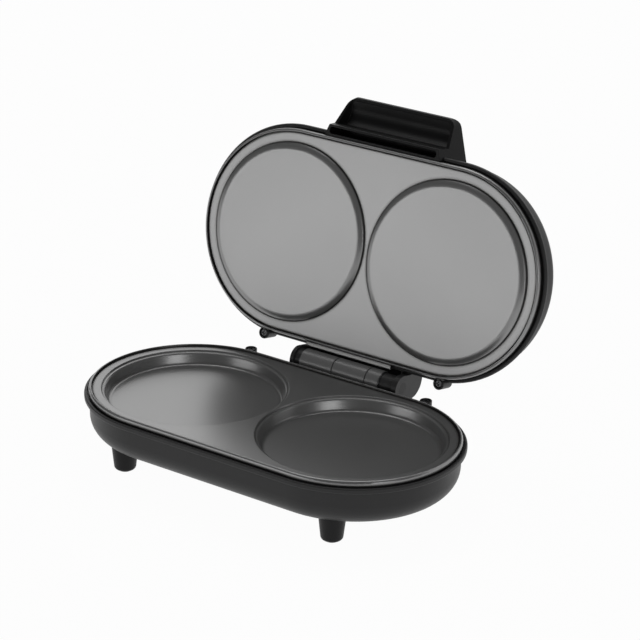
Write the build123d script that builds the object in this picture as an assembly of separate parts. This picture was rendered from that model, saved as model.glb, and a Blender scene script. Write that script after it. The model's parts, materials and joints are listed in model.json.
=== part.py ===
from build123d import *
from math import atan2, cos, degrees, hypot, radians, sin, sqrt
import os

# Twin-well electric griddle with a hinged lid, in millimetres and degrees.
# The base stands on the table, hinge at the back (+Y), and the lid leans open on its stop. The origin
# is at table level under the middle of the open part. Each half has its own frame: cooking side up,
# with the flat margin of its plate at height 0. The base frame only stands higher and further to the
# front, the lid frame hangs on the hinge.

# Cooking plates
disc_radius = 60.0
disc_shoulder = 3.0
disc_rise = 2.8
disc_to_well = 1.2
well_depth = 9.0
well_ledge = 1.8
well_draft = 4.6
land_between_wells = 1.1
margin_width = 8.0
ledge_drop = 1.4
mouth_slope = 0.7
throat_step = 0.8
well_wall = 3.4
base_plate_wall = 4.0
lid_plate_wall = 1.8
bead_width = 1.9
bead_height = 1.4
bead_slope = 0.2
bead_rounding = 1.6
rim_foot_rounding = 0.4
rim_groove_width = 0.8
rim_groove_depth = 1.3
disc_groove_width = 0.5
disc_groove_depth = 0.35
disc_side_height = 1.2
disc_side_lean = 0.4
disc_side_rounding = 1.0
disc_shoulder_rounding = 6.0
flange_drop = 2.0
neck_depth = 5.0
neck_wall = 2.0

# Casings
casing_inset = 0.6
casing_wall = 2.4
lip_wall = 2.0
base_depth = 30.8
base_edge_rounding = 14.0
lid_depth = 24.8
lid_edge_rounding = 8.0
base_floor_wall = 3.0
lid_floor_wall = 2.0
collar_reach = 3.5
base_collar_rounding = 0.8
lid_collar_rounding = 1.5
base_collar_drop = 2.3
lid_collar_drop = 3.2
collar_height = 3.4
moat_width = 2.0
moat_depth = 2.0
plate_clearance = 0.4

# Stance and hinge
margin_height = 46.8
base_forward = 36.7
open_angle = 102.3
rim_gap = 0.6
hinge_drop = 2.4
running_clearance = 0.05
seat_clearance = 0.02
body_clearance = 0.35

# Hinge barrel, pin and housing
barrel_radius = 8.0
barrel_gap = 0.9
barrel_groove = 0.9
barrel_groove_width = 0.9
barrel_half_length = 31.0
barrel_splits = (-5.4, 20.8)
pin_radius = 4.0
pin_bore_radius = 2.5
pin_in_barrel = 15.0
pin_length = 20.0
washer_thickness = 0.8
washer_inset = 0.3
left_cheek_gap = 4.2
left_cheek_wall = 2.6
right_cheek_gap = 10.2
right_cheek_wall = 4.0
cheek_radius = 8.5
housing_depth = 19.2
housing_rounding = 12.0
housing_wall = 2.4
housing_root = 1.2
cap_thickness = 1.6
arm_inset = 3.0
arm_screw_inset = 7.0
arm_screw_length = 9.0
arm_height = 7.0
arm_flange_height = 12.0
arm_flange_depth = 3.0
arm_root_overlap = 0.5
stop_gap = 0.2
stop_width = 6.0

# Tab of the lid plate over the hinge
tab_left_margin = 4.6
tab_right_margin = 1.0
tab_overhang = 3.1
tab_drop = 0.3
tab_thickness = 1.1

# Fixing ears of the plates
ear_offset = 8.25
ear_outset = 2.8
ear_radius = 4.0
ear_rounding = 0.5
ear_lift = 0.9
ear_boss_length = 8.0
ear_boss_tip = 4.5
ear_boss_point = 1.0
ear_web_width = 6.0
ear_pocket_radius = 3.0
ear_tongue_radius = 2.7
ear_tongue_thickness = 1.2
ear_hole_clearance = 0.2

# Screws
screw_hole_spare = 1.0
ear_head_radius = 2.7
ear_head_height = 1.2
ear_shank_radius = 1.5
ear_screw_length = 9.0
recess_length = 3.2
recess_width = 0.9
recess_depth = 0.8
small_head_radius = 2.9
small_head_height = 1.6
small_shank_radius = 1.4

# Handle
handle_root_half_width = 51.0
handle_root_overlap = 20.0
handle_tip_half_width = 41.3
handle_overhang = 26.8
handle_tip_rounding = 9.0
handle_ledge_reach = 7.8
handle_ledge_depth = 9.5
handle_ledge_rounding = 0.6
handle_draft = 12.5
handle_depth = 24.0
handle_lip = 2.5
handle_lip_depth = 18.5
handle_lip_drop = 1.8
handle_lip_rounding = 1.6
handle_heel_inset = 1.6
handle_heel_rounding = 3.0
handle_shell = 2.8
scoop_half_width = 38.5
scoop_draft = 18.0
scoop_heel_height = 6.5
scoop_heel_length = 5.0
scoop_rounding = 10.0
scoop_lip_rise = 3.4
scoop_corner_rounding = 4.0
scoop_edge = 2.2
slot_half_width = 41.5
slot_reach = 1.8
slot_width = 4.6
slot_depth = 13.0
slot_rounding = 1.8
handle_notch_clearance = 0.3
handle_screw_x = 30.0
handle_screw_depth = 15.5
handle_screw_length = 14.0
handle_boss_length = 4.8
handle_boss_width = 9.0
handle_gap = 0.3

# Feet
foot_angle = 68.0
foot_inset = 16.3
foot_top_radius = 9.6
foot_bottom_radius = 6.9
foot_rounding = 2.6
foot_lift = 0.6
foot_reach = 24.0
pad_radius = 4.6
pad_height = 2.0
foot_screw_length = 10.0
foot_boss_radius = 4.4
foot_boss_height = 1.4

# Heating
element_ring_radius = 38.0
element_tube_radius = 3.2
element_gap_angle = 24.0
toward_back = 90.0
toward_front = -90.0
terminal_pin_radius = 1.1
terminal_pin_length = 7.0
reflector_radius = 47.0
reflector_wall = 0.8
reflector_lip = 3.0
reflector_hole_radius = 2.0
pin_slot_clearance = 2.0
plate_boss_radius = 5.0
reflector_screw_length = 5.0

# Controls, wiring and lamps
thermostat_radius = 8.0
thermostat_height = 8.5
thermostat_to_fuse = 14.0
thermostat_tab_spread = 4.0
thermostat_tab_thickness = 0.8
thermostat_tab_width = 6.3
thermostat_tab_height = 7.0
fuse_radius = 2.2
fuse_length = 26.0
fuse_margin = 11.8
block_length = 34.0
block_width = 16.0
block_height = 11.0
block_margin = 24.2
block_hole_radius = 1.9
gland_margin = 9.0
gland_depth = 11.2
gland_bore_radius = 3.5
gland_body_radius = 4.5
gland_flange_radius = 5.4
gland_flange_thickness = 2.4
gland_inner_thickness = 2.0
lead_radius = 1.6
lead_clearance = 0.4
lead_bend = 2.0
lead_behind_block = 6.0
lead_x = -6.0
lead_joint_x = 6.0
lid_lead_margin = 3.5
lid_lead_back = 2.0
lid_lead_depth = 11.0
lid_lead_inset = 6.6
lid_lead_stub = 4.0
conduit_radius = 3.6
lamp_x = 9.0
lamp_margin = 22.2
lens_radius = 4.2
lens_flange_radius = 5.4
lens_rise = 1.3
lens_flange = 1.2
lamp_radius = 2.4
lamp_length = 8.0
lamp_bracket_wall = 1.6
lamp_bracket_width = 16.0
lamp_bracket_length = 36.0
lamp_bracket_leg = 3.2
lamp_bracket_hold = 2.0

# Sizes that follow from these
sides = (-1, 1)
well_mouth_radius = disc_radius + disc_to_well
well_ledge_radius = well_mouth_radius - well_ledge
well_floor_radius = well_mouth_radius - well_draft
well_spacing = 2 * well_mouth_radius + land_between_wells
half_spacing = well_spacing / 2
rim_radius = well_mouth_radius + margin_width
wall_radius = rim_radius - casing_inset
collar_radius = wall_radius + collar_reach
inner_radius = wall_radius - casing_wall
neck_radius = inner_radius - plate_clearance
fuse_offset = neck_radius - neck_wall - fuse_margin
thermostat_offset = fuse_offset - thermostat_to_fuse
block_y = inner_radius - block_margin
lamp_y = inner_radius - lamp_margin
parting_height = margin_height + bead_height + rim_gap / 2
hinge_height = parting_height - hinge_drop
closed_gap = 2 * bead_height + rim_gap
axis_in_base = hinge_height - margin_height
axis_in_lid = closed_gap - axis_in_base
base_bottom = -base_depth
base_floor = base_bottom + base_floor_wall
lid_back = -lid_depth
lid_floor = lid_back + lid_floor_wall
collar_underside = -base_collar_drop - collar_height
arm_foot_top = collar_underside - body_clearance
hinge_reach = collar_radius + barrel_gap + barrel_radius
barrel_end = barrel_half_length + washer_thickness
left_cheek = (-barrel_end - left_cheek_gap - left_cheek_wall, -barrel_end - left_cheek_gap)
right_cheek = (barrel_end + right_cheek_gap + right_cheek_wall, barrel_end + right_cheek_gap)
cheeks = (left_cheek, right_cheek)
pin_inner_end = barrel_half_length - pin_in_barrel
arm_half_width = barrel_half_length - arm_inset
arm_screw_x = arm_half_width - arm_screw_inset
arm_screw_depth = -arm_foot_top + arm_flange_height / 2
gland_x = right_cheek[0] + gland_margin
lid_lead_x = right_cheek[1] - lid_lead_margin
lid_lead_turn = (-hinge_reach + lid_lead_back, -lid_lead_depth)
lid_lead_end = (-wall_radius + lid_lead_inset, -lid_lead_depth)
tab_left = barrel_half_length + tab_left_margin
tab_right = barrel_half_length + tab_right_margin
tab_reach = rim_radius + tab_overhang
ear_x = half_spacing + ear_offset
ear_y = rim_radius + ear_outset
ear_head_seat = -flange_drop + ear_tongue_thickness
handle_tip = rim_radius + handle_overhang
handle_ledge = rim_radius + handle_ledge_reach
handle_boss_face = inner_radius - handle_boss_length
slot_near = rim_radius + slot_reach
slot_far = slot_near + slot_width
foot_x = half_spacing + (wall_radius - foot_inset) * cos(radians(foot_angle))
foot_y = (wall_radius - foot_inset) * sin(radians(foot_angle))


def section(*corners):
    """Closed outline in the radius and height plane; a third number rounds that corner."""
    face = make_face(Polyline(*[corner[:2] for corner in corners], close=True))
    for corner in corners:
        if len(corner) == 3:
            nearest = face.vertices().sort_by_distance((corner[0], corner[1], 0))[0]
            face = fillet(nearest, corner[2])
    return face


def ring(outline, x=0.0, y=0.0):
    """Turn an outline about the upright axis at x, y."""
    return revolve(Plane(origin=(x, y, 0), x_dir=(1, 0, 0), z_dir=(0, -1, 0)) * outline,
                   Axis((x, y, 0), (0, 0, 1)))


def racetrack(outline):
    """Carry an outline round the racetrack of both wells: a half turn at each end, a straight run each side."""
    solid = Part()
    for side in sides:
        centre = side * half_spacing
        start = Plane(origin=(centre, 0, 0), x_dir=(0, -side, 0), z_dir=(-side, 0, 0)) * outline
        solid += revolve(start, Axis((centre, 0, 0), (0, 0, 1)), revolution_arc=180)
        solid += extrude(start, amount=well_spacing)
    return solid


def rod(start, end, radius):
    """Round bar from one point to another."""
    along = Vector(*end) - Vector(*start)
    return extrude(Plane(origin=start, z_dir=along) * Circle(radius), amount=along.length)


def block(low, high):
    """Box between two corners."""
    size = [b - a for a, b in zip(low, high)]
    middle = [(a + b) / 2 for a, b in zip(low, high)]
    return Pos(*middle) * Box(*size)


def side_profile(x_from, x_to, outline):
    """Extrude an outline drawn in the Y and Z plane from one x to another."""
    return extrude(Plane(origin=(x_from, 0, 0), x_dir=(0, 1, 0), z_dir=(1, 0, 0)) * outline,
                   amount=x_to - x_from)


def screw(head_radius, head_height, shank_radius, length, crossed=False):
    """Pan-head screw that stands head up with the underside of its head at height 0."""
    body = ring(section((0, head_height), (head_radius, head_height, head_height * 0.6), (head_radius, 0),
                        (shank_radius, 0), (shank_radius, -length + shank_radius), (0, -length)))
    if crossed:
        for turn in (0, 90):
            slot = Rot(0, 0, turn) * Box(recess_length, recess_width, 2 * recess_depth)
            body -= Pos(0, 0, head_height) * slot
    return body


def bench_to_lid(shape):
    """Hang a piece of the lid, drawn in the lid's frame, on the hinge at the open angle."""
    back = -hinge_reach
    up = margin_height + closed_gap - hinge_height
    turn = radians(open_angle)
    centre_y = hinge_reach - base_forward + back * cos(turn) + up * sin(turn)
    centre_z = hinge_height - back * sin(turn) + up * cos(turn)
    frame = Plane(origin=(0, centre_y, centre_z), x_dir=(1, 0, 0), z_dir=(0, -sin(turn), -cos(turn)))
    return frame.location * shape


def bench_to_base(shape):
    """Stand a piece of the base, drawn in the base's frame, at its place over the table."""
    return Pos(0, -base_forward, margin_height) * shape


# Casings of both halves

def casing_outline(depth, floor_wall, edge_rounding, collar_top, collar_rounding):
    """Wall, rounded edge, collar, moat and the lip that carries the plate."""
    moat_floor = collar_top - moat_depth
    collar_low = collar_top - collar_height
    lip_outer = inner_radius + lip_wall
    return section((0, -depth), (wall_radius, -depth, edge_rounding), (wall_radius, collar_low),
                   (collar_radius, collar_low, collar_rounding), (collar_radius, collar_top, collar_rounding),
                   (lip_outer + moat_width, collar_top), (lip_outer + moat_width, moat_floor),
                   (lip_outer, moat_floor),
                   (lip_outer, -flange_drop), (inner_radius, -flange_drop),
                   (inner_radius, -depth + floor_wall, edge_rounding - casing_wall), (0, -depth + floor_wall))


def ear_reach(x, y, radius, bottom, top, inner):
    """Post at an ear with a bar of the same width that runs in to the given distance from the middle."""
    outward = y / abs(y)
    bar_length = abs(y) - inner
    bar = Pos(x, outward * (abs(y) + inner) / 2, (bottom + top) / 2) * Box(2 * radius, bar_length,
                                                                           top - bottom)
    return bar + Pos(x, y, (bottom + top) / 2) * Cylinder(radius, top - bottom)


def add_ear_bosses(shell, y):
    """Two lugs beside the plate's rim, each with a channel for the plate's tongue and the screw over it."""
    foot = -flange_drop - ear_boss_length
    for side in sides:
        x = side * ear_x
        lug = ring(section((0, ear_lift), (ear_radius, ear_lift, ear_rounding), (ear_radius, foot),
                           (ear_boss_point, foot - ear_boss_tip), (0, foot - ear_boss_tip)), x, y)
        shell += lug + ear_reach(x, y, ear_web_width / 2, foot, -flange_drop, inner_radius + lip_wall / 2)
        shell -= ear_reach(x, y, ear_pocket_radius, -flange_drop, 2 * ear_lift, inner_radius + lip_wall / 2)
        depth = ear_screw_length + screw_hole_spare
        shell -= Pos(x, y, ear_head_seat - depth / 2) * Cylinder(ear_shank_radius + seat_clearance, depth)
    clear = rim_radius + plate_clearance
    above = 2 * ear_lift
    return shell - racetrack(section((0, -flange_drop), (clear, -flange_drop), (clear, above), (0, above)))


def make_base_shell():
    outline = casing_outline(base_depth, base_floor_wall, base_edge_rounding, -base_collar_drop,
                             base_collar_rounding)
    shell = add_ear_bosses(racetrack(outline), ear_y)
    for side in sides:
        for foot_side in sides:
            place = Pos(side * foot_x, foot_side * foot_y, base_bottom + base_floor_wall)
            shell += place * Cylinder(foot_boss_radius, 2 * foot_boss_height)
            shell -= place * Cylinder(small_shank_radius + seat_clearance, 4 * base_floor_wall)
        shell -= rod((side * arm_screw_x, wall_radius - 2 * casing_wall, -arm_screw_depth),
                     (side * arm_screw_x, wall_radius + 1, -arm_screw_depth),
                     small_shank_radius + seat_clearance)
    shell -= rod((gland_x, inner_radius - 1, -gland_depth), (gland_x, wall_radius + 1, -gland_depth),
                 gland_body_radius + seat_clearance)
    shell -= rod((lead_x, inner_radius - 1, -arm_screw_depth), (lead_x, wall_radius + 1, -arm_screw_depth),
                 lead_radius + lead_clearance)
    return shell


def housing_outline():
    """Side view of the hinge housing in the lid's frame: rounded back corner, nose round the pin."""
    back = -housing_depth
    low = -hinge_reach - cheek_radius
    high = -hinge_reach + cheek_radius
    top = -lid_collar_drop - lid_collar_rounding
    root = -wall_radius + housing_root
    return section((root, top), (high, top), (high, axis_in_lid), (low, axis_in_lid),
                   (low, back, housing_rounding), (root, back))


def housing_hollow():
    """Side view of the space between the cheeks: open to the front, walled at the back."""
    far = -hinge_reach - 2 * cheek_radius
    inside = -hinge_reach - cheek_radius + housing_wall
    step = -housing_depth / 3
    return section((-wall_radius, axis_in_lid + 2 * cheek_radius), (far, axis_in_lid + 2 * cheek_radius),
                   (far, step),
                   (inside, step), (inside, -housing_depth + housing_wall, housing_rounding - housing_wall),
                   (-wall_radius, -housing_depth + housing_wall))


def make_lid_shell():
    outline = casing_outline(lid_depth, lid_floor_wall, lid_edge_rounding, -lid_collar_drop,
                             lid_collar_rounding)
    shell = add_ear_bosses(racetrack(outline), -ear_y)
    notch = block((-2 * half_spacing, wall_radius, lid_back), (2 * half_spacing, collar_radius + 1, 0))
    notch += block((-2 * half_spacing, inner_radius + lip_wall, -lid_collar_drop - moat_depth),
                   (2 * half_spacing, wall_radius, -flange_drop))
    shell -= notch & handle_mask(handle_notch_clearance, handle_draft)
    axis = (-hinge_reach, axis_in_lid)
    housing = side_profile(left_cheek[0], right_cheek[0], housing_outline())
    housing += rod((left_cheek[0], *axis), (right_cheek[0], *axis), cheek_radius)
    housing -= side_profile(left_cheek[1], right_cheek[1], housing_hollow())
    shell += housing
    conduit = ((lid_lead_x, *axis), (lid_lead_x, *lid_lead_turn), (lid_lead_x, *lid_lead_end))
    for start, end in zip(conduit, conduit[1:]):
        shell += rod(start, end, conduit_radius)
    for side, (outer, inner) in zip(sides, cheeks):
        shell += rod((outer, *axis), (side * barrel_end, *axis), barrel_radius - barrel_groove)
        shell -= rod((outer + side, *axis), (side * barrel_half_length, *axis), pin_radius + seat_clearance)
    for start, end in zip(conduit, conduit[1:]):
        shell -= rod(start, end, lead_radius + lead_clearance)
    shell -= Pos(lid_lead_x, *lid_lead_turn) * Sphere(lead_radius + lead_clearance)
    for side in sides:
        boss_middle = (handle_boss_face + wall_radius - 1) / 2
        shell += Pos(side * handle_screw_x, boss_middle, -handle_screw_depth) * Box(
            handle_boss_width, wall_radius - 1 - handle_boss_face, handle_boss_width)
        shell -= rod((side * handle_screw_x, handle_boss_face - 1, -handle_screw_depth),
                     (side * handle_screw_x, wall_radius + 1, -handle_screw_depth),
                     small_shank_radius + seat_clearance)
        shell -= Pos(side * lamp_x, lamp_y, lid_back) * Cylinder(lens_radius + seat_clearance,
                                                                 3 * lid_floor_wall)
    return shell


def make_stop_noses():
    """Blocks under the cheeks that meet the back of the base when the lid is open, in the base's frame."""
    noses = Part()
    for side, (outer, inner) in zip(sides, cheeks):
        start = min(outer, outer - side * stop_width)
        low = (start, wall_radius + stop_gap, axis_in_base - cheek_radius)
        top = (start + stop_width, hinge_reach, collar_underside - body_clearance)
        noses += block(low, top)
    return noses


# Plates

def plate_outline(wall):
    """Flat margin, raised bead at the rim, flange underneath and the neck that locates the plate."""
    bead_foot = rim_radius - bead_width
    groove = bead_foot - rim_groove_width
    return section((0, 0), (groove, 0), (groove, -rim_groove_depth), (bead_foot, -rim_groove_depth),
                   (bead_foot + bead_slope, bead_height), (rim_radius, bead_height, bead_rounding),
                   (rim_radius, -flange_drop, rim_foot_rounding), (neck_radius, -flange_drop),
                   (neck_radius, -neck_depth),
                   (neck_radius - neck_wall, -neck_depth), (neck_radius - neck_wall, -wall), (0, -wall))


def with_tongues(plate, y):
    """Two thin tongues that lie in the channels of the casing's lugs, under the screws."""
    for side in sides:
        plate += ear_reach(side * ear_x, y, ear_tongue_radius, -flange_drop, ear_head_seat, neck_radius)
        plate -= Pos(side * ear_x, y, 0) * Cylinder(ear_shank_radius + ear_hole_clearance, 4 * flange_drop)
    return plate


def make_base_plate():
    plate = racetrack(plate_outline(base_plate_wall))
    under = -well_depth - well_wall
    for side in sides:
        centre = side * half_spacing
        plate += ring(section((0, -ledge_drop), (well_mouth_radius, -ledge_drop),
                              (well_floor_radius + well_wall, under, 3.0), (0, under)), centre)
        plate -= ring(section((0, bead_height), (well_mouth_radius, bead_height), (well_mouth_radius, 0),
                              (well_mouth_radius - mouth_slope, -ledge_drop + 0.2),
                              (well_ledge_radius, -ledge_drop),
                              (well_ledge_radius - throat_step, -ledge_drop - throat_step),
                              (well_floor_radius, -well_depth, 2.4), (0, -well_depth)), centre)
        plate += Pos(centre, 0, under - element_tube_radius) * Cylinder(plate_boss_radius,
                                                                        2 * element_tube_radius)
        plate -= Pos(centre, 0, under - element_tube_radius) * Cylinder(small_shank_radius + seat_clearance,
                                                                     2 * element_tube_radius + 0.2)
    return with_tongues(plate, ear_y)


def make_lid_plate():
    plate = racetrack(plate_outline(lid_plate_wall))
    under = disc_rise - lid_plate_wall
    pocket = disc_radius - disc_groove_width
    groove = disc_radius + disc_groove_width
    for side in sides:
        centre = side * half_spacing
        plate -= ring(section((disc_radius, 0), (groove, 0), (groove, -disc_groove_depth),
                              (disc_radius, -disc_groove_depth)), centre)
        plate += ring(section((0, -disc_groove_depth), (disc_radius, -disc_groove_depth), (disc_radius, 0),
                              (disc_radius - disc_side_lean, disc_side_height, disc_side_rounding),
                              (disc_radius - disc_shoulder, disc_rise, disc_shoulder_rounding),
                              (0, disc_rise)), centre)
        plate -= ring(section((0, -flange_drop - lid_plate_wall), (pocket, -flange_drop - lid_plate_wall),
                              (pocket, -lid_plate_wall), (pocket - disc_shoulder, under), (0, under)), centre)
        plate += Pos(centre, 0, under - element_tube_radius) * Cylinder(plate_boss_radius,
                                                                        2 * element_tube_radius)
        plate -= Pos(centre, 0, under - element_tube_radius) * Cylinder(small_shank_radius + seat_clearance,
                                                                     2 * element_tube_radius + 0.2)
    tab_low = -tab_drop - tab_thickness
    plate += block((-tab_left, -tab_reach, tab_low), (tab_right, -rim_radius + bead_width / 2, -tab_drop))
    return with_tongues(plate, -ear_y)


def make_ear_screws(y):
    screws = Part()
    for side in sides:
        one = screw(ear_head_radius, ear_head_height, ear_shank_radius, ear_screw_length, crossed=True)
        screws += Pos(side * ear_x, y, ear_head_seat) * one
    return screws


# Heating elements and reflectors

def make_element(x, under, toward):
    """Ring of tube against the underside of a plate, open where its two pins turn down."""
    z = under - element_tube_radius
    start = toward + element_gap_angle / 2
    path = CenterArc((x, 0, z), element_ring_radius, start, 360 - element_gap_angle)
    tube = sweep(Plane(origin=path @ 0, z_dir=path % 0) * Circle(element_tube_radius), path=path)
    for at in (0, 1):
        foot = path @ at
        step = (path % at) * (at - 0.5) * terminal_pin_radius
        pin_middle = z - element_tube_radius / 2 - terminal_pin_length / 2
        tube += Pos(foot.X + step.X, foot.Y + step.Y, pin_middle) * Cylinder(
            terminal_pin_radius, terminal_pin_length + element_tube_radius)
    return tube


def make_reflector(x, under):
    """Pressed dish that holds the ring up against the plate."""
    top = under - 2 * element_tube_radius
    low = top - reflector_wall
    inside = reflector_radius - reflector_wall
    return ring(section((reflector_hole_radius, top), (inside, top), (inside, top + reflector_lip),
                        (reflector_radius, top + reflector_lip), (reflector_radius, low),
                        (reflector_hole_radius, low)), x)


def cut_pin_slots(dish, x, under, toward):
    for side in sides:
        angle = radians(toward + side * element_gap_angle / 2)
        at = (x + element_ring_radius * cos(angle), element_ring_radius * sin(angle),
              under - 2 * element_tube_radius)
        dish -= Pos(*at) * Cylinder(terminal_pin_radius + pin_slot_clearance, 4 * reflector_wall)
    return dish


def make_reflector_screws(under):
    screws = Part()
    for side in sides:
        one = screw(small_head_radius, small_head_height, small_shank_radius, reflector_screw_length)
        screws += Pos(side * half_spacing, 0, under - 2 * element_tube_radius - reflector_wall) * Rot(180, 0,
                                                                                                      0) * one
    return screws


# Hinge: barrel on the base, pin and washers in the lid

def make_hinge_barrel():
    """Three knuckles on one tube, with the arm that screws to the back of the base."""
    axis = (hinge_reach, axis_in_base)
    barrel = rod((-barrel_half_length, *axis), (barrel_half_length, *axis), barrel_radius)
    for at in barrel_splits:
        groove = rod((at - barrel_groove_width / 2, *axis), (at + barrel_groove_width / 2, *axis),
                     barrel_radius + 1)
        core = rod((at - barrel_groove_width, *axis), (at + barrel_groove_width, *axis),
                   barrel_radius - barrel_groove)
        barrel -= groove - core
    barrel += side_profile(-arm_half_width, arm_half_width, arm_outline())
    barrel -= rod((-barrel_end, *axis), (barrel_end, *axis), pin_radius + running_clearance)
    bore = lead_radius + 2 * lead_clearance
    turn = (lead_x, wall_radius + arm_flange_depth / 2, -arm_screw_depth)
    barrel -= rod((lead_x, wall_radius - 1, -arm_screw_depth), turn, bore) + Pos(*turn) * Sphere(bore)
    barrel -= rod(turn, (lead_x, *axis), bore)
    for side in sides:
        barrel -= rod((side * arm_screw_x, wall_radius - 1, -arm_screw_depth),
                      (side * arm_screw_x, inner_radius + arm_screw_length + screw_hole_spare,
                       -arm_screw_depth),
                      small_shank_radius + seat_clearance)
    return barrel


def arm_outline():
    """Side view of the arm: a flange on the casing wall, a sloping web and a bar under the barrel."""
    low = axis_in_base - barrel_radius
    web = wall_radius + arm_flange_depth
    return section((wall_radius, arm_foot_top), (web - arm_root_overlap, arm_foot_top),
                   (collar_radius + body_clearance, low + arm_height / 2),
                   (collar_radius + body_clearance, low + arm_height), (hinge_reach, low + arm_height),
                   (hinge_reach, low), (web, arm_foot_top - arm_flange_height),
                   (wall_radius, arm_foot_top - arm_flange_height))


def make_arm_screws():
    screws = Part()
    for side in sides:
        one = screw(small_head_radius, small_head_height, small_shank_radius, arm_screw_length)
        screws += Pos(side * arm_screw_x, inner_radius, -arm_screw_depth) * Rot(90, 0, 0) * one
    return screws


def make_hinge_pins():
    """Two hollow stub pins, pressed into the cheeks and turning in the barrel."""
    pins = Part()
    for side in sides:
        start = (side * pin_inner_end, -hinge_reach, axis_in_lid)
        end = (side * (pin_inner_end + pin_length), -hinge_reach, axis_in_lid)
        pins += rod(start, end, pin_radius) - rod(start, end, pin_bore_radius)
    return pins


def make_washers():
    washers = Part()
    for side in sides:
        start = side * barrel_half_length
        end = side * (barrel_half_length + washer_thickness)
        disc = rod((start, -hinge_reach, axis_in_lid), (end, -hinge_reach, axis_in_lid),
                   barrel_radius - washer_inset)
        washers += disc - rod((start - side, -hinge_reach, axis_in_lid),
                              (end + side, -hinge_reach, axis_in_lid),
                              pin_radius + seat_clearance)
    return washers


def make_pin_caps():
    """Plugs that close the pin holes in the outer faces of the cheeks."""
    caps = Part()
    for side, (outer, inner) in zip(sides, cheeks):
        caps += rod((outer - side * cap_thickness, -hinge_reach, axis_in_lid),
                    (outer, -hinge_reach, axis_in_lid), pin_radius)
    return caps


# Handle

def handle_mask(grow, draft):
    """Plan of the handle, narrower towards its tip, raised with sides that lean in by the given angle."""
    root = wall_radius - handle_root_overlap
    widening = (handle_root_half_width - handle_tip_half_width) / (handle_tip - wall_radius)
    wide = handle_root_half_width + widening * handle_root_overlap + grow
    narrow = handle_tip_half_width + grow
    plan = section((-wide, root), (wide, root), (narrow, handle_tip + grow, handle_tip_rounding),
                   (-narrow, handle_tip + grow, handle_tip_rounding))
    return extrude(Pos(0, 0, -handle_depth) * plan, amount=handle_depth, taper=draft)


def handle_outline():
    """Side view of the handle: step under the plate's rim, ledge, hood that slopes back to the lip."""
    rim = rim_radius + handle_gap
    under_rim = -flange_drop - handle_gap
    return section((wall_radius, under_rim), (rim, under_rim), (rim, 0),
                   (handle_ledge, 0, handle_ledge_rounding),
                   (handle_ledge, -handle_ledge_depth), (handle_tip - handle_lip, -handle_lip_depth),
                   (handle_tip, -handle_lip_depth - handle_lip_drop, handle_lip_rounding),
                   (handle_tip - handle_heel_inset, -handle_depth, handle_heel_rounding),
                   (wall_radius, -handle_depth))


def handle_scoop():
    """Hollow that the fingers reach into, open towards the front, wider there than at its floor."""
    floor = handle_shell - handle_depth
    lip = handle_tip - scoop_edge
    inner = side_profile(-handle_root_half_width, handle_root_half_width, section(
        (handle_ledge, 1), (handle_ledge, floor + scoop_heel_height),
        (handle_ledge + scoop_heel_length, floor, scoop_rounding), (lip, floor + scoop_lip_rise), (lip, 1)))
    narrow = scoop_half_width
    wide = narrow + handle_depth * sin(radians(scoop_draft)) / cos(radians(scoop_draft))
    across = section((-narrow, -floor, scoop_corner_rounding), (narrow, -floor, scoop_corner_rounding),
                     (wide, -floor - handle_depth), (-wide, -floor - handle_depth))
    front = Plane(origin=(0, handle_ledge - 1, 0), x_dir=(1, 0, 0), z_dir=(0, 1, 0))
    return inner & extrude(front * across, amount=handle_tip) & handle_mask(-scoop_edge, 0)


def make_handle():
    """Root block with a slot in its front, and a scooped hood that slopes back to the tip."""
    handle = side_profile(-half_spacing, half_spacing, handle_outline()) & handle_mask(0, handle_draft)
    handle -= handle_scoop()
    slot = block((-slot_half_width, slot_near, -slot_depth), (slot_half_width, slot_far, 1))
    handle -= fillet(slot.edges().filter_by(Axis.Z), slot_rounding)
    hole_end = handle_boss_face + handle_screw_length + screw_hole_spare
    for side in sides:
        handle -= rod((side * handle_screw_x, wall_radius - 1, -handle_screw_depth),
                      (side * handle_screw_x, hole_end, -handle_screw_depth),
                      small_shank_radius + seat_clearance)
    return handle


def make_handle_screws():
    screws = Part()
    for side in sides:
        one = screw(small_head_radius, small_head_height, small_shank_radius, handle_screw_length)
        screws += Pos(side * handle_screw_x, handle_boss_face, -handle_screw_depth) * Rot(90, 0, 0) * one
    return screws


# Feet

def make_foot(x, y, bowl):
    """Tapered post under the casing, shaped to its rounded edge, with a pocket for the pad."""
    low = foot_lift - margin_height
    high = low + foot_reach
    foot = ring(section((0, low), (foot_bottom_radius, low, foot_rounding), (foot_top_radius, high),
                        (0, high)), x, y)
    foot -= bowl
    foot -= Pos(x, y, low) * Cylinder(pad_radius, 2 * (pad_height - foot_lift))
    foot -= Pos(x, y, base_floor + foot_boss_height - foot_screw_length / 2) * Cylinder(
        small_shank_radius + seat_clearance, foot_screw_length + 0.4)
    return foot


def make_foot_pad(x, y):
    return ring(section((0, -margin_height), (pad_radius, -margin_height, 0.4),
                        (pad_radius, pad_height - margin_height),
                        (0, pad_height - margin_height)), x, y)


def make_foot_screws():
    screws = Part()
    for side in sides:
        for foot_side in sides:
            one = screw(small_head_radius, small_head_height, small_shank_radius, foot_screw_length)
            screws += Pos(side * foot_x, foot_side * foot_y, base_floor + foot_boss_height) * one
    return screws


# Controls, wiring and lamps

def make_thermostat(y, under):
    body = Pos(0, y, under - thermostat_height / 2) * Cylinder(thermostat_radius, thermostat_height)
    for side in sides:
        tab = Pos(side * thermostat_tab_spread, y, under - thermostat_height - thermostat_tab_height / 2)
        body += tab * Box(thermostat_tab_thickness, thermostat_tab_width, thermostat_tab_height)
    return body


def make_fuse(y, under):
    return rod((-fuse_length / 2, y, under - fuse_radius), (fuse_length / 2, y, under - fuse_radius),
               fuse_radius)


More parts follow.
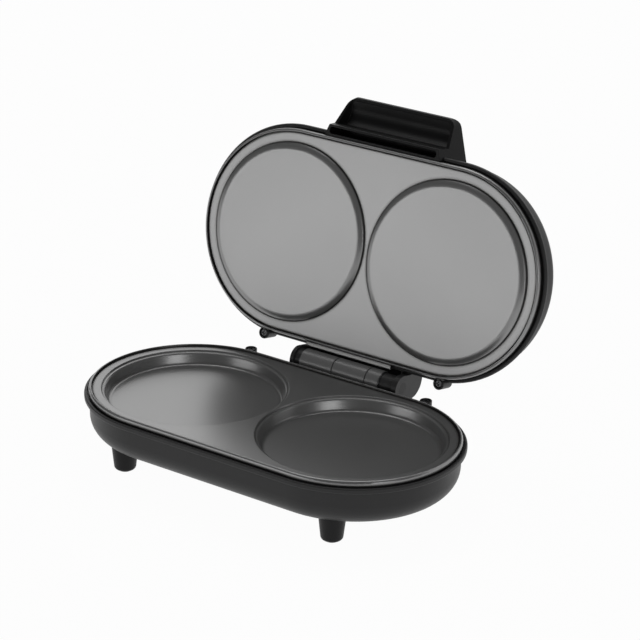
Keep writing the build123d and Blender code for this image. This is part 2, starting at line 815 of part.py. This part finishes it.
def make_terminal_block():
    body = block((-block_length / 2, block_y - block_width / 2, base_floor),
                 (block_length / 2, block_y + block_width / 2, base_floor + block_height))
    for step in (-1, 0, 1):
        at = step * block_length / 3
        body -= rod((at, block_y - block_width, base_floor + block_height * 0.4),
                    (at, block_y + block_width, base_floor + block_height * 0.4), block_hole_radius)
        body -= Pos(at, block_y, base_floor + block_height) * Cylinder(block_hole_radius, block_height)
    return body


def make_cord_gland():
    z = -gland_depth
    outside = wall_radius + gland_flange_thickness
    inside = inner_radius - gland_inner_thickness
    gland = rod((gland_x, inside, z), (gland_x, outside, z), gland_body_radius)
    gland += rod((gland_x, wall_radius, z), (gland_x, outside, z), gland_flange_radius)
    gland += rod((gland_x, inside, z), (gland_x, inner_radius, z), gland_flange_radius - 0.4)
    return gland - rod((gland_x, inside - 1, z), (gland_x, outside + 1, z), gland_bore_radius)


def make_base_lead():
    """Lead from the terminal block, through the arm, into the hollow barrel and along its axis."""
    behind = block_y + block_width / 2 + lead_behind_block
    points = [(lead_x, behind, base_floor + block_height), (lead_x, behind, -arm_screw_depth),
              (lead_x, wall_radius + lead_bend, -arm_screw_depth), (lead_x, hinge_reach, axis_in_base),
              (lead_joint_x, hinge_reach, axis_in_base)]
    path = FilletPolyline(*points, radius=lead_bend)
    return sweep(Plane(origin=path @ 0, z_dir=path % 0) * Circle(lead_radius), path=path)


def make_lid_lead():
    """Lead that meets the other on the hinge axis, leaves by the right pin and runs up inside the cheek."""
    points = [(lead_joint_x, -hinge_reach, axis_in_lid), (lid_lead_x, -hinge_reach, axis_in_lid),
              (lid_lead_x, *lid_lead_turn), (lid_lead_x, lid_lead_end[0] + lid_lead_stub, lid_lead_end[1])]
    path = FilletPolyline(*points, radius=lead_bend)
    return sweep(Plane(origin=path @ 0, z_dir=path % 0) * Circle(lead_radius), path=path)


def make_lens(x):
    back = lid_back
    return ring(section((0, back - lens_rise), (lens_radius, back - lens_rise, 1.0), (lens_radius, lid_floor),
                        (lens_flange_radius, lid_floor), (lens_flange_radius, lid_floor + lens_flange),
                        (0, lid_floor + lens_flange)), x, lamp_y)


def make_lamp(x):
    low = lid_floor + lens_flange
    return ring(section((0, low), (lamp_radius, low, 1.2), (lamp_radius, low + lamp_length),
                        (0, low + lamp_length)),
                x, lamp_y)


def make_lamp_bracket():
    """Bridge over both lamps that holds them on their lenses."""
    low = lid_floor + lens_flange + lamp_length - lamp_bracket_hold
    top = low + lamp_bracket_wall
    half = lamp_bracket_length / 2
    near = lamp_y - lamp_bracket_width / 2
    far = lamp_y + lamp_bracket_width / 2
    bracket = block((-half, near, low), (half, far, top))
    for side in sides:
        inner = side * half - lamp_bracket_leg / 2
        bracket += block((inner, near, lid_floor), (inner + lamp_bracket_leg, far, top))
        bracket -= Pos(side * lamp_x, lamp_y, top) * Cylinder(lamp_radius + 0.1, 4 * lamp_bracket_wall)
    return bracket


def make_all():
    """Every node by name, each in its place."""
    base_under = -well_depth - well_wall
    lid_under = disc_rise - lid_plate_wall
    bowl = racetrack(section((0, base_bottom), (wall_radius, base_bottom, base_edge_rounding),
                             (wall_radius, 0),
                             (0, 0)))
    nodes = {
        "base_shell": bench_to_base(make_base_shell()),
        "base_plate": bench_to_base(make_base_plate()),
        "base_plate_screws": bench_to_base(make_ear_screws(ear_y)),
        "base_reflector_screws": bench_to_base(make_reflector_screws(base_under)),
        "base_thermostat": bench_to_base(make_thermostat(-thermostat_offset, -base_plate_wall)),
        "thermal_fuse": bench_to_base(make_fuse(-fuse_offset, -base_plate_wall)),
        "terminal_block": bench_to_base(make_terminal_block()),
        "cord_gland": bench_to_base(make_cord_gland()),
        "base_lead": bench_to_base(make_base_lead()),
        "foot_screws": bench_to_base(make_foot_screws()),
        "hinge_barrel": bench_to_base(make_hinge_barrel()),
        "hinge_barrel_screws": bench_to_base(make_arm_screws()),
        "lid_shell": bench_to_lid(make_lid_shell()) + bench_to_base(make_stop_noses()),
        "lid_plate": bench_to_lid(make_lid_plate()),
        "lid_plate_screws": bench_to_lid(make_ear_screws(-ear_y)),
        "lid_reflector_screws": bench_to_lid(make_reflector_screws(lid_under)),
        "lid_thermostat": bench_to_lid(make_thermostat(-thermostat_offset, -lid_plate_wall)),
        "lid_lead": bench_to_lid(make_lid_lead()),
        "hinge_pins": bench_to_lid(make_hinge_pins()),
        "hinge_pin_caps": bench_to_lid(make_pin_caps()),
        "hinge_washers": bench_to_lid(make_washers()),
        "lid_handle": bench_to_lid(make_handle()),
        "lid_handle_screws": bench_to_lid(make_handle_screws()),
        "lamp_bracket": bench_to_lid(make_lamp_bracket()),
    }
    for name, side in (("left", -1), ("right", 1)):
        x = side * half_spacing
        for half, place, under, toward in (("base", bench_to_base, base_under, toward_back),
                                           ("lid", bench_to_lid, lid_under, toward_front)):
            nodes[f"{half}_element_{name}"] = place(make_element(x, under, toward))
            nodes[f"{half}_reflector_{name}"] = place(cut_pin_slots(make_reflector(x, under), x, under,
                                                                    toward))
        for place, foot_side in (("front", -1), ("rear", 1)):
            foot = make_foot(side * foot_x, foot_side * foot_y, bowl)
            nodes[f"foot_{place}_{name}"] = bench_to_base(foot)
            nodes[f"foot_pad_{place}_{name}"] = bench_to_base(make_foot_pad(side * foot_x,
                                                                            foot_side * foot_y))
    for name, side in (("power", -1), ("ready", 1)):
        nodes[name + "_lens"] = bench_to_lid(make_lens(side * lamp_x))
        nodes[name + "_lamp"] = bench_to_lid(make_lamp(side * lamp_x))
    return nodes


os.makedirs("parts", exist_ok=True)
for node, shape in make_all().items():
    export_step(shape, f"parts/{node}.step")
    print(node, len(shape.solids()), round(shape.volume))
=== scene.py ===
# %% [markdown]
# This lesson dresses a small kitchen appliance: a base with two round wells, and a lid with two
# raised discs that leans open on its hinge. Every form comes from an exact solid, one for each
# piece, because moulded plastic and pressed metal are made of true radii and flats. The pieces
# could be modelled again here as meshes, but two models of one thing drift apart, so the solids
# stay as they are and get a camera, a floor, lamps and finishes. All lengths are in metres.

# %% Load the frame
import json
from math import cos, radians, sin

import bpy
from mathutils import Matrix, Vector

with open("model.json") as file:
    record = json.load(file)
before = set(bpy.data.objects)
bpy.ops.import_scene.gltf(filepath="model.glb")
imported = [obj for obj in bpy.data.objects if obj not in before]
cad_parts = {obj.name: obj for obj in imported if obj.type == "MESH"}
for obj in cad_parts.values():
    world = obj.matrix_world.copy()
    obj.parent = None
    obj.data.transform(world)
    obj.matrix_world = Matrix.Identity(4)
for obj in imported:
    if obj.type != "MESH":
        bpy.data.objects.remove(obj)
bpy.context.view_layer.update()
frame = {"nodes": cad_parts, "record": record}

# %% [markdown]
# The camera stands to the right of the front, a little above the rim of the base, far off with a
# long lens so that the two halves keep their proportions. Its place could be found by trying, but
# here it was worked out once from the outlines of both halves. So the three directions of the
# camera are found from its angles and turned into one matrix. A little shift of the lens puts the
# object where it sits in the picture without turning the camera.

# %% Camera
azimuth, elevation, roll = radians(34.96), radians(22.46), radians(1.18)
away = Vector((0, -1, 0))
away.rotate(Matrix.Rotation(-elevation, 3, "X"))
away.rotate(Matrix.Rotation(azimuth, 3, "Z"))
level = Vector((1, 0, 0))
level.rotate(Matrix.Rotation(azimuth, 3, "Z"))
level.rotate(Matrix.Rotation(roll, 3, away))
upright = away.cross(level)

aim = Vector((0, 0.0033, 0.060))
aside, raised, distance = -0.00256, 0.02785, 1.6078
eye = aim + level * aside + upright * raised + away * distance

camera_data = bpy.data.cameras.new("photo_camera")
camera_data.sensor_width, camera_data.lens = 36.0, 139.8
camera_data.shift_x, camera_data.shift_y = 0.0236, 0.0134
camera_data.clip_start = 0.05
camera = bpy.data.objects.new("photo_camera", camera_data)
camera.matrix_world = Matrix.Translation(eye) @ Matrix((level, upright, away)).transposed().to_4x4()
bpy.context.collection.objects.link(camera)
bpy.context.scene.camera = camera
print("camera at", [round(v, 4) for v in eye])

# %% [markdown]
# The object stands on a pale sheet that runs up behind it, as on a photographer's table. A large
# plane could do, but it could end in a visible line, so the floor is one curved sheet: flat under
# the object, then a quarter of a round, then upright. It needs only two points for each step of
# its profile.

# %% Floor
sheet_half, sheet_top = 9.0, 6.0
bend_start, bend_radius = 2.4, 1.6
bend_angles = [radians(6 * step) for step in range(16)]
sheet_profile = [(-sheet_half, 0.0)]
sheet_profile += [(bend_start + bend_radius * sin(a), bend_radius * (1 - cos(a)))
                  for a in bend_angles]
sheet_profile += [(bend_start + bend_radius, sheet_top)]

sheet_mesh = bpy.data.meshes.new("studio_sheet")
sheet_mesh.from_pydata(
    [(x, y, z) for y, z in sheet_profile for x in (-sheet_half, sheet_half)], [],
    [(2 * i, 2 * i + 1, 2 * i + 3, 2 * i + 2) for i in range(len(sheet_profile) - 1)])
sheet = bpy.data.objects.new("studio_sheet", sheet_mesh)
bpy.context.collection.objects.link(sheet)
sheet_mesh.polygons.foreach_set("use_smooth", [True] * len(sheet_mesh.polygons))
print("floor sheet of", len(sheet_mesh.polygons), "strips")

# %% [markdown]
# A material in Blender is a net of nodes. Each node could be made in three or four lines; this
# helper makes one in a single line and sets its values by name, so the nets below stay readable.

# %% A helper for nodes
def add(tree, kind, **settings):
    """A node with its settings; a setting that names an input socket sets that socket."""
    node = tree.nodes.new(kind)
    for key, value in settings.items():
        if key in node.bl_rna.properties:
            setattr(node, key, value)
        else:
            node.inputs[key.replace("_", " ")].default_value = value
    return node


print("add() makes a node and sets its values")

# %% [markdown]
# The paper could be lit until it is white, but then the light would wash out the object as well.
# So its own colour makes the picture white: rays that come from the camera, are mirrored in metal
# or pass through glass see plain white for nearly all of it. The small rest is the light that the
# sheet really receives, which keeps the soft shadow under the feet.

# %% Paper
WHITE_SHARE = 0.97
paper = bpy.data.materials.new("studio_paper")
paper.use_nodes = True
paper.node_tree.nodes.clear()
paper_out = add(paper.node_tree, "ShaderNodeOutputMaterial")
paper_light = add(paper.node_tree, "ShaderNodeBsdfDiffuse", Color=(0.93, 0.93, 0.93, 1))
paper_white = add(paper.node_tree, "ShaderNodeEmission", Color=(1, 1, 1, 1))
paper_mix = add(paper.node_tree, "ShaderNodeMixShader")
paper_path = add(paper.node_tree, "ShaderNodeLightPath")
paper_seen = add(paper.node_tree, "ShaderNodeMath", operation="MAXIMUM")
paper_through = add(paper.node_tree, "ShaderNodeMath", operation="MAXIMUM")
paper_share = add(paper.node_tree, "ShaderNodeMath", operation="MULTIPLY")
paper_share.inputs[1].default_value = WHITE_SHARE
for given, taken in (
        (paper_path.outputs["Is Camera Ray"], paper_seen.inputs[0]),
        (paper_path.outputs["Is Glossy Ray"], paper_seen.inputs[1]),
        (paper_seen.outputs[0], paper_through.inputs[0]),
        (paper_path.outputs["Is Transmission Ray"], paper_through.inputs[1]),
        (paper_through.outputs[0], paper_share.inputs[0]),
        (paper_share.outputs[0], paper_mix.inputs["Fac"]),
        (paper_light.outputs[0], paper_mix.inputs[1]),
        (paper_white.outputs[0], paper_mix.inputs[2]),
        (paper_mix.outputs[0], paper_out.inputs["Surface"])):
    paper.node_tree.links.new(given, taken)
sheet_mesh.materials.append(paper)
print("paper of", len(paper.node_tree.nodes), "nodes")

# %% [markdown]
# The light is that of a small studio. A wide soft box at the front left, at the height of the
# object, is mirrored in the satin of the lid plate and gives it an even grey. A larger one further
# off on the right keeps the black casing from sinking into the dark, and one overhead lights the
# base and the floor. A faint one behind the left end is mirrored in the base plate, which
# brightens towards its front and left. Sharp lamps could be used, but they would draw small hard
# glints that satin metal between soft boxes doesn't show.

# %% Lamps
def soft_box(name, place, width, height, power, aim=(0, 0.05, 0.08)):
    """A rectangular lamp at place that looks at the middle of the object."""
    data = bpy.data.lights.new(name, "AREA")
    data.shape = "RECTANGLE"
    data.size, data.size_y, data.energy = width, height, power
    lamp = bpy.data.objects.new(name, data)
    lamp.location = place
    lamp.rotation_euler = (Vector(aim) - Vector(place)).to_track_quat("-Z", "Y").to_euler()
    bpy.context.collection.objects.link(lamp)
    print("lamp", name, power, "W")


soft_box("front_left_box", place=(-0.95, -1.65, 0.08), width=1.1, height=0.75, power=5.0)
soft_box("right_box", place=(2.2, -1.2, 0.7), width=1.0, height=1.0, power=7)
soft_box("top_box", place=(-0.6, 0.6, 2.2), width=1.6, height=1.2, power=12)
soft_box("back_left_box", place=(-0.9, 1.3, 1.25), width=1.0, height=0.8, power=2)

# %% [markdown]
# A room gives a little light from all sides. A picture of a room could be wrapped around the
# scene; a plain weak white does the same here, and what is turned away from the boxes stays dark.
# The view transform is the plain one, so that a grey of the material stays that grey.

# %% World and view
WORLD_LIGHT = 0.15
world = bpy.data.worlds.new("studio")
bpy.context.scene.world = world
world.use_nodes = True
backdrop = world.node_tree.nodes["Background"]
backdrop.inputs["Color"].default_value = (1, 1, 1, 1)
backdrop.inputs["Strength"].default_value = WORLD_LIGHT
bpy.context.scene.view_settings.view_transform = "Standard"
print("world light", WORLD_LIGHT)

# %% [markdown]
# Many finishes share the same few effects. Their nodes could be copied into each material, but a
# change would then have to be made many times. So each effect is a node group, made once: it takes
# numbers and gives back a mask or a height, and the shader that uses it stays in the material.

# %% A helper for shared effects
EFFECTS = {}


def group(name, inputs, output):
    """A shared effect: a node group with float inputs and one float output, still empty."""
    tree = bpy.data.node_groups.new(name, "ShaderNodeTree")
    for label, value in inputs.items():
        socket = tree.interface.new_socket(label, in_out="INPUT", socket_type="NodeSocketFloat")
        socket.default_value = value
    tree.interface.new_socket(output, in_out="OUTPUT", socket_type="NodeSocketFloat")
    EFFECTS[name] = tree
    print("effect", name, "takes", inputs, "and gives", output)
    return tree, add(tree, "NodeGroupInput"), add(tree, "NodeGroupOutput")


# %% [markdown]
# The casing, the handle and the coated plates all have a fine pitting, from the mould or from the
# spray. It could be real relief, but pits of less than a millimetre would need millions of faces.
# As the height of a bump node they cost nothing and catch the light in the same way. Two noises
# are laid over each other, because one alone looks too even.

# %% Fine pitting
COARSE_SHARE = 0.5


def fine_pitting():
    """Two noises of different size, for the surface of mouldings and sprayed coats."""
    tree, given, out = group("fine_pitting", {"Size": 900.0, "Coarse": 260.0}, "Height")
    place = add(tree, "ShaderNodeTexCoord")
    fine = add(tree, "ShaderNodeTexNoise", Detail=2.0, Roughness=0.6)
    coarse = add(tree, "ShaderNodeTexNoise", Detail=3.0, Roughness=0.5)
    mix = add(tree, "ShaderNodeMath", operation="MULTIPLY_ADD")
    mix.inputs[1].default_value = COARSE_SHARE
    tree.links.new(place.outputs["Object"], fine.inputs["Vector"])
    tree.links.new(place.outputs["Object"], coarse.inputs["Vector"])
    tree.links.new(given.outputs["Size"], fine.inputs["Scale"])
    tree.links.new(given.outputs["Coarse"], coarse.inputs["Scale"])
    tree.links.new(coarse.outputs["Fac"], mix.inputs[0])
    tree.links.new(fine.outputs["Fac"], mix.inputs[2])
    tree.links.new(mix.outputs[0], out.inputs["Height"])


fine_pitting()

# %% [markdown]
# Wiping, heat and hands leave broad soft patches, so no finish is one even colour. They could be
# painted, but paint belongs to one mesh; a low noise in object coordinates runs over every piece
# alike. The noise is passed on over its whole range: where a range is cut off, the cut draws thin
# wavy lines, and the large flats of the plates would show them.

# %% Handled clouds
def handled_clouds():
    """Broad soft patches, as wiping and handling leave them."""
    tree, given, out = group("handled_clouds", {"Size": 14.0, "Softness": 0.5}, "Mask")
    place = add(tree, "ShaderNodeTexCoord")
    noise = add(tree, "ShaderNodeTexNoise", Detail=4.0, Distortion=0.4)
    tree.links.new(place.outputs["Object"], noise.inputs["Vector"])
    tree.links.new(given.outputs["Size"], noise.inputs["Scale"])
    tree.links.new(given.outputs["Softness"], noise.inputs["Roughness"])
    tree.links.new(noise.outputs["Fac"], out.inputs["Mask"])


handled_clouds()

# %% [markdown]
# Black plastic and blackened screws go a little lighter along their edges, where they are rubbed.
# The pointiness of a mesh could find edges, but it depends on how finely each mesh is divided. A
# bevel node doesn't: it gives the normal as it would be on a rounded edge, and where that differs
# from the true normal there is an edge. A noise breaks the line up, as real wear does.

# %% Rubbed edges
FLAT, SHARP = 0.995, 0.86
NORMAL_SAMPLES = 6


def rubbed_edges():
    """A mask that is 1 on sharp edges, from FLAT to SHARP in how far two normals agree."""
    tree, given, out = group("rubbed_edges", {"Width": 0.0006, "Break": 220.0}, "Mask")
    rounded = add(tree, "ShaderNodeBevel", samples=NORMAL_SAMPLES)
    true = add(tree, "ShaderNodeNewGeometry")
    same = add(tree, "ShaderNodeVectorMath", operation="DOT_PRODUCT")
    edge = add(tree, "ShaderNodeMapRange", From_Min=FLAT, From_Max=SHARP)
    place = add(tree, "ShaderNodeTexCoord")
    noise = add(tree, "ShaderNodeTexNoise", Detail=3.0)
    broken = add(tree, "ShaderNodeMapRange", From_Min=0.35, From_Max=0.65)
    both = add(tree, "ShaderNodeMath", operation="MULTIPLY")
    tree.links.new(given.outputs["Width"], rounded.inputs["Radius"])
    tree.links.new(rounded.outputs["Normal"], same.inputs[0])
    tree.links.new(true.outputs["Normal"], same.inputs[1])
    tree.links.new(same.outputs["Value"], edge.inputs["Value"])
    tree.links.new(place.outputs["Object"], noise.inputs["Vector"])
    tree.links.new(given.outputs["Break"], noise.inputs["Scale"])
    tree.links.new(noise.outputs["Fac"], broken.inputs["Value"])
    tree.links.new(edge.outputs["Result"], both.inputs[0])
    tree.links.new(broken.outputs["Result"], both.inputs[1])
    tree.links.new(both.outputs[0], out.inputs["Mask"])


rubbed_edges()

# %% [markdown]
# At the foot of each raised disc and inside the rims of the plates, a thin dark line of painted
# shade is laid into the colour. It could be drawn as a ring for each place. An ambient occlusion
# node finds all such places by itself: it tells how much is closed off within a short reach of a
# point.

# %% Corner painted shade
OPEN, CLOSED_OFF = 0.99, 0.80


def corner_painted_shade():
    """A mask of painted shade: 1 in grooves and inner corners, fading out over Reach."""
    tree, given, out = group("corner_painted_shade", {"Reach": 0.0025, "Break": 90.0}, "Mask")
    shelter = add(tree, "ShaderNodeAmbientOcclusion", samples=12)
    sheltered = add(tree, "ShaderNodeMapRange", From_Min=OPEN, From_Max=CLOSED_OFF)
    place = add(tree, "ShaderNodeTexCoord")
    noise = add(tree, "ShaderNodeTexNoise", Detail=3.0)
    uneven = add(tree, "ShaderNodeMapRange", To_Min=0.8, To_Max=1.0)
    both = add(tree, "ShaderNodeMath", operation="MULTIPLY")
    tree.links.new(given.outputs["Reach"], shelter.inputs["Distance"])
    tree.links.new(shelter.outputs["AO"], sheltered.inputs["Value"])
    tree.links.new(place.outputs["Object"], noise.inputs["Vector"])
    tree.links.new(given.outputs["Break"], noise.inputs["Scale"])
    tree.links.new(noise.outputs["Fac"], uneven.inputs["Value"])
    tree.links.new(sheltered.outputs["Result"], both.inputs[0])
    tree.links.new(uneven.outputs["Result"], both.inputs[1])
    tree.links.new(both.outputs[0], out.inputs["Mask"])


corner_painted_shade()

# %% [markdown]
# The grooved hinge barrel and the pressed reflectors have fine parallel lines. A wave texture could
# draw them, but it would be as regular as a ruler. A noise that is stretched has lines of uneven
# weight: it changes quickly across them and slowly along them.

# %% Tool lines
def tool_lines():
    """Fine parallel lines, drawn out by stretching a noise."""
    tree, given, out = group("tool_lines", {"Along": 40.0, "Across": 1600.0}, "Height")
    place = add(tree, "ShaderNodeTexCoord")
    stretch = add(tree, "ShaderNodeCombineXYZ")
    spread = add(tree, "ShaderNodeVectorMath", operation="MULTIPLY")
    noise = add(tree, "ShaderNodeTexNoise", Scale=1.0, Detail=2.0)
    tree.links.new(given.outputs["Across"], stretch.inputs["X"])
    tree.links.new(given.outputs["Along"], stretch.inputs["Y"])
    tree.links.new(given.outputs["Along"], stretch.inputs["Z"])
    tree.links.new(place.outputs["Object"], spread.inputs[0])
    tree.links.new(stretch.outputs["Vector"], spread.inputs[1])
    tree.links.new(spread.outputs["Vector"], noise.inputs["Vector"])
    tree.links.new(noise.outputs["Fac"], out.inputs["Height"])


tool_lines()

# %% [markdown]
# Colours are laid over each other as a painter lays coats: a lower colour, an upper one, and a mask
# that says where the upper one covers. Each material could repeat these nodes for every coat; a
# helper that lays one coat at a time and gives the colour so far is shorter.

# %% A helper for coats of colour
def lay_over(tree, lower, upper, mask):
    """The lower colour, or the coats so far, with the upper colour over it where mask is 1."""
    mix = add(tree, "ShaderNodeMix", data_type="RGBA")
    if isinstance(lower, tuple):
        mix.inputs["A"].default_value = (*lower, 1)
    else:
        tree.links.new(lower, mix.inputs["A"])
    mix.inputs["B"].default_value = (*upper, 1)
    tree.links.new(mask, mix.inputs["Factor"])
    return mix.outputs["Result"]


print("lay_over() lays one colour over another")

# %% [markdown]
# One function makes every solid finish of this object. The fresh and the worn colour are mixed by
# the broad patches, which also change how rough the surface is. Edges can be a little lighter where
# they are rubbed, and inner corners a little darker with painted shade. No moulded or pressed edge
# is truly sharp, so a bevel node rounds the normals near every edge before the grain is laid over
# them. Rounding the mesh itself would look the same, but it would change the solid's surface. The
# numbers of a finish say what it is: how metallic, how rough, how deep the grain.

# %% A helper for finishes
GRAIN_DEPTH = 0.0002
PLAIN_GRAIN = ("fine_pitting", 0.15, {})


def finish(name, colour, worn, roughness, rough_spread=0.06, metal=0.0, specular=0.5,
           grain=PLAIN_GRAIN, clouds=14.0, edge=None, edge_width=0.0005, soft_edge=0.0004,
           painted_shade=None, coat=0.0, coat_roughness=0.2):
    """A material; grain is an effect, how strongly it shows, and its own values."""
    material = bpy.data.materials.new(name)
    material.use_nodes = True
    tree = material.node_tree
    shader = tree.nodes["Principled BSDF"]
    shader.inputs["Metallic"].default_value = metal
    shader.inputs["Specular IOR Level"].default_value = specular
    shader.inputs["Coat Weight"].default_value = coat
    shader.inputs["Coat Roughness"].default_value = coat_roughness

    patches = add(tree, "ShaderNodeGroup", node_tree=EFFECTS["handled_clouds"], Size=clouds)
    seen = lay_over(tree, colour, worn, patches.outputs["Mask"])
    if edge:
        rubbed = add(tree, "ShaderNodeGroup", node_tree=EFFECTS["rubbed_edges"], Width=edge_width)
        seen = lay_over(tree, seen, edge, rubbed.outputs["Mask"])
    # Painted shade: a darker colour laid where the occlusion mask finds grooves and inner corners.
    if painted_shade:
        corners = add(tree, "ShaderNodeGroup", node_tree=EFFECTS["corner_painted_shade"])
        seen = lay_over(tree, seen, painted_shade, corners.outputs["Mask"])
    tree.links.new(seen, shader.inputs["Base Color"])

    rough = add(tree, "ShaderNodeMapRange",
                To_Min=roughness - rough_spread, To_Max=roughness + rough_spread)
    tree.links.new(patches.outputs["Mask"], rough.inputs["Value"])
    tree.links.new(rough.outputs["Result"], shader.inputs["Roughness"])

    effect, strength, values = grain
    texture = add(tree, "ShaderNodeGroup", node_tree=EFFECTS[effect], **values)
    soft = add(tree, "ShaderNodeBevel", samples=NORMAL_SAMPLES, Radius=soft_edge)
    bump = add(tree, "ShaderNodeBump", Strength=strength, Distance=GRAIN_DEPTH)
    tree.links.new(texture.outputs["Height"], bump.inputs["Height"])
    tree.links.new(soft.outputs["Normal"], bump.inputs["Normal"])
    tree.links.new(bump.outputs["Normal"], shader.inputs["Normal"])
    print("finish", name, "roughness", roughness, "metal", metal)
    return material


FINISHES = {}

# %% [markdown]
# The two casings, the handle and the feet are black mouldings with a fine even grain. One black
# could serve for all, but in the light the casing is a dark grey and the handle much deeper, so
# each has its own. They mirror little, so the specular value is low.

# %% Black mouldings
moulded = {"Size": 1500.0, "Coarse": 500.0}
FINISHES["casing_plastic"] = finish(
    "black_casing", (0.027, 0.027, 0.0275), (0.034, 0.034, 0.0346), 0.42, specular=0.3,
    grain=("fine_pitting", 0.35, moulded), edge=(0.06, 0.06, 0.062))
FINISHES["handle_plastic"] = finish(
    "black_handle", (0.004, 0.004, 0.0042), (0.006, 0.006, 0.0063), 0.42, specular=0.2,
    grain=("fine_pitting", 0.3, moulded), edge=(0.015, 0.015, 0.016))
FINISHES["feet_plastic"] = finish(
    "black_feet", (0.008, 0.008, 0.0084), (0.011, 0.011, 0.0115), 0.45, specular=0.2,
    grain=("fine_pitting", 0.35, moulded))

# %% [markdown]
# The two cooking plates are metal under a grey non-stick coat. Plain metal would mirror the soft
# boxes too clearly and plain paint hardly at all, so the coat is metallic for the most part and
# satin. Its two greys lie close together, its clouds are broad, and the coat makes its edges
# rounder than those of the plastic. It is the one finish with painted shade in its inner corners.

# %% Plate coating
# The last colour below is painted shade, a thin dark line laid into the inner corners.
FINISHES["plate_coating"] = finish(
    "coated_plate", (0.29, 0.29, 0.29), (0.272, 0.272, 0.272), 0.29, rough_spread=0.02, metal=0.7,
    grain=("fine_pitting", 0.12, {"Size": 1100.0, "Coarse": 300.0}), clouds=9.0,
    soft_edge=0.0008, painted_shade=(0.075, 0.074, 0.072))

# %% [markdown]
# The hinge barrel is a smooth grey between the two black casings, and shines more than they do.
# It could be taken for metal, but its highlights stay white and soft, so it is a plastic with a
# high specular value and faint lines along its grooves. The screws, pins and washers are blackened
# steel: metal all through, dark, a little bright on the rims of their heads.

# %% Hinge barrel and screws
FINISHES["hinge_plastic"] = finish(
    "hinge_barrel_plastic", (0.19, 0.19, 0.19), (0.165, 0.165, 0.165), 0.32, specular=0.8,
    grain=("tool_lines", 0.2, {}), edge=(0.2, 0.2, 0.2))
FINISHES["screw_steel"] = finish(
    "blackened_screws", (0.12, 0.12, 0.125), (0.09, 0.09, 0.093), 0.38, metal=1.0, clouds=60.0,
    grain=("fine_pitting", 0.2, {}), edge=(0.22, 0.22, 0.22), edge_width=0.0003, soft_edge=0.0002)

# %% [markdown]
# Inside, a heating element lies behind each well and each disc, and a pressed dish holds it there
# and throws its heat back. The sheath of an element is steel that the heat has browned in patches.
# The dishes could share one bright metal, but those in the base are steel, and those in the lid
# are aluminium, which is brighter and keeps the lid light.

# %% Elements and reflectors
FINISHES["element_steel"] = finish(
    "element_sheath", (0.30, 0.27, 0.24), (0.20, 0.18, 0.17), 0.45, metal=1.0, clouds=40.0)
FINISHES["base_reflector_steel"] = finish(
    "reflector_steel", (0.55, 0.55, 0.56), (0.48, 0.48, 0.49), 0.3, metal=1.0,
    grain=("tool_lines", 0.2, {}))
FINISHES["lid_reflector_aluminium"] = finish(
    "reflector_aluminium", (0.68, 0.68, 0.69), (0.6, 0.6, 0.61), 0.32, metal=1.0,
    grain=("tool_lines", 0.2, {}))

# %% [markdown]
# The small parts inside and the caps of the hinge pins are dull black plastic. The pads under the
# feet and the grommet in the back wall are soft rubber. The two leads that pass the hinge wear a
# woven sleeve, which could be made thread by thread, but at this size a fine noise of equal pitch
# both ways looks the same.

# %% Controls, pads and sleeves
FINISHES["control_plastic"] = finish(
    "control_plastic", (0.028, 0.028, 0.028), (0.036, 0.036, 0.036), 0.5, specular=0.3)
FINISHES["pad_rubber"] = finish(
    "pad_rubber", (0.035, 0.035, 0.035), (0.05, 0.05, 0.048), 0.8,
    grain=("fine_pitting", 0.5, {"Size": 800.0}))
FINISHES["lead_sleeve"] = finish(
    "lead_sleeve", (0.55, 0.53, 0.47), (0.45, 0.43, 0.38), 0.85,
    grain=("tool_lines", 0.6, {"Along": 900.0, "Across": 900.0}))

# %% [markdown]
# Two small lenses sit in the top of the lid, a red one for power and a green one for ready. They
# could be clear coloured glass, but seen from outside such lenses are deep and glossy, so they are
# a smooth colour under a clear coat.

# %% Lenses
FINISHES["power_lens_red"] = finish(
    "red_lens", (0.42, 0.02, 0.015), (0.36, 0.016, 0.012), 0.16, coat=0.5, coat_roughness=0.08)
FINISHES["ready_lens_green"] = finish(
    "green_lens", (0.03, 0.28, 0.06), (0.025, 0.23, 0.05), 0.16, coat=0.5, coat_roughness=0.08)

# %% [markdown]
# Behind each lens is a small glass lamp. The helper above makes solid finishes only, so this one is
# built by hand: a shader that lets most light through, tinted by a little dust.

# %% Lamp glass
lamp_glass = bpy.data.materials.new("lamp_glass")
lamp_glass.use_nodes = True
glass_shader = lamp_glass.node_tree.nodes["Principled BSDF"]
glass_shader.inputs["Transmission Weight"].default_value = 0.9
glass_shader.inputs["Roughness"].default_value = 0.05
glass_dust = add(lamp_glass.node_tree, "ShaderNodeGroup", node_tree=EFFECTS["handled_clouds"])
glass_colour = lay_over(lamp_glass.node_tree, (0.95, 0.72, 0.5), (0.85, 0.6, 0.4),
                        glass_dust.outputs["Mask"])
lamp_glass.node_tree.links.new(glass_colour, glass_shader.inputs["Base Color"])
FINISHES["lamp_glass"] = lamp_glass
print("finishes", sorted(FINISHES))

# %% [markdown]
# The record says which slot each piece takes its finish from. A finish could be given piece by
# piece, but through the slots no piece can be forgotten: a slot without a finish stops the script.

# %% Finishes on the pieces
slot_of = {part["node"]: part["material_slot"] for part in frame["record"]["subparts"]}
for name, node in frame["nodes"].items():
    node.data.materials.clear()
    node.data.materials.append(FINISHES[slot_of[name]])
print("finishes on", len(slot_of), "pieces")
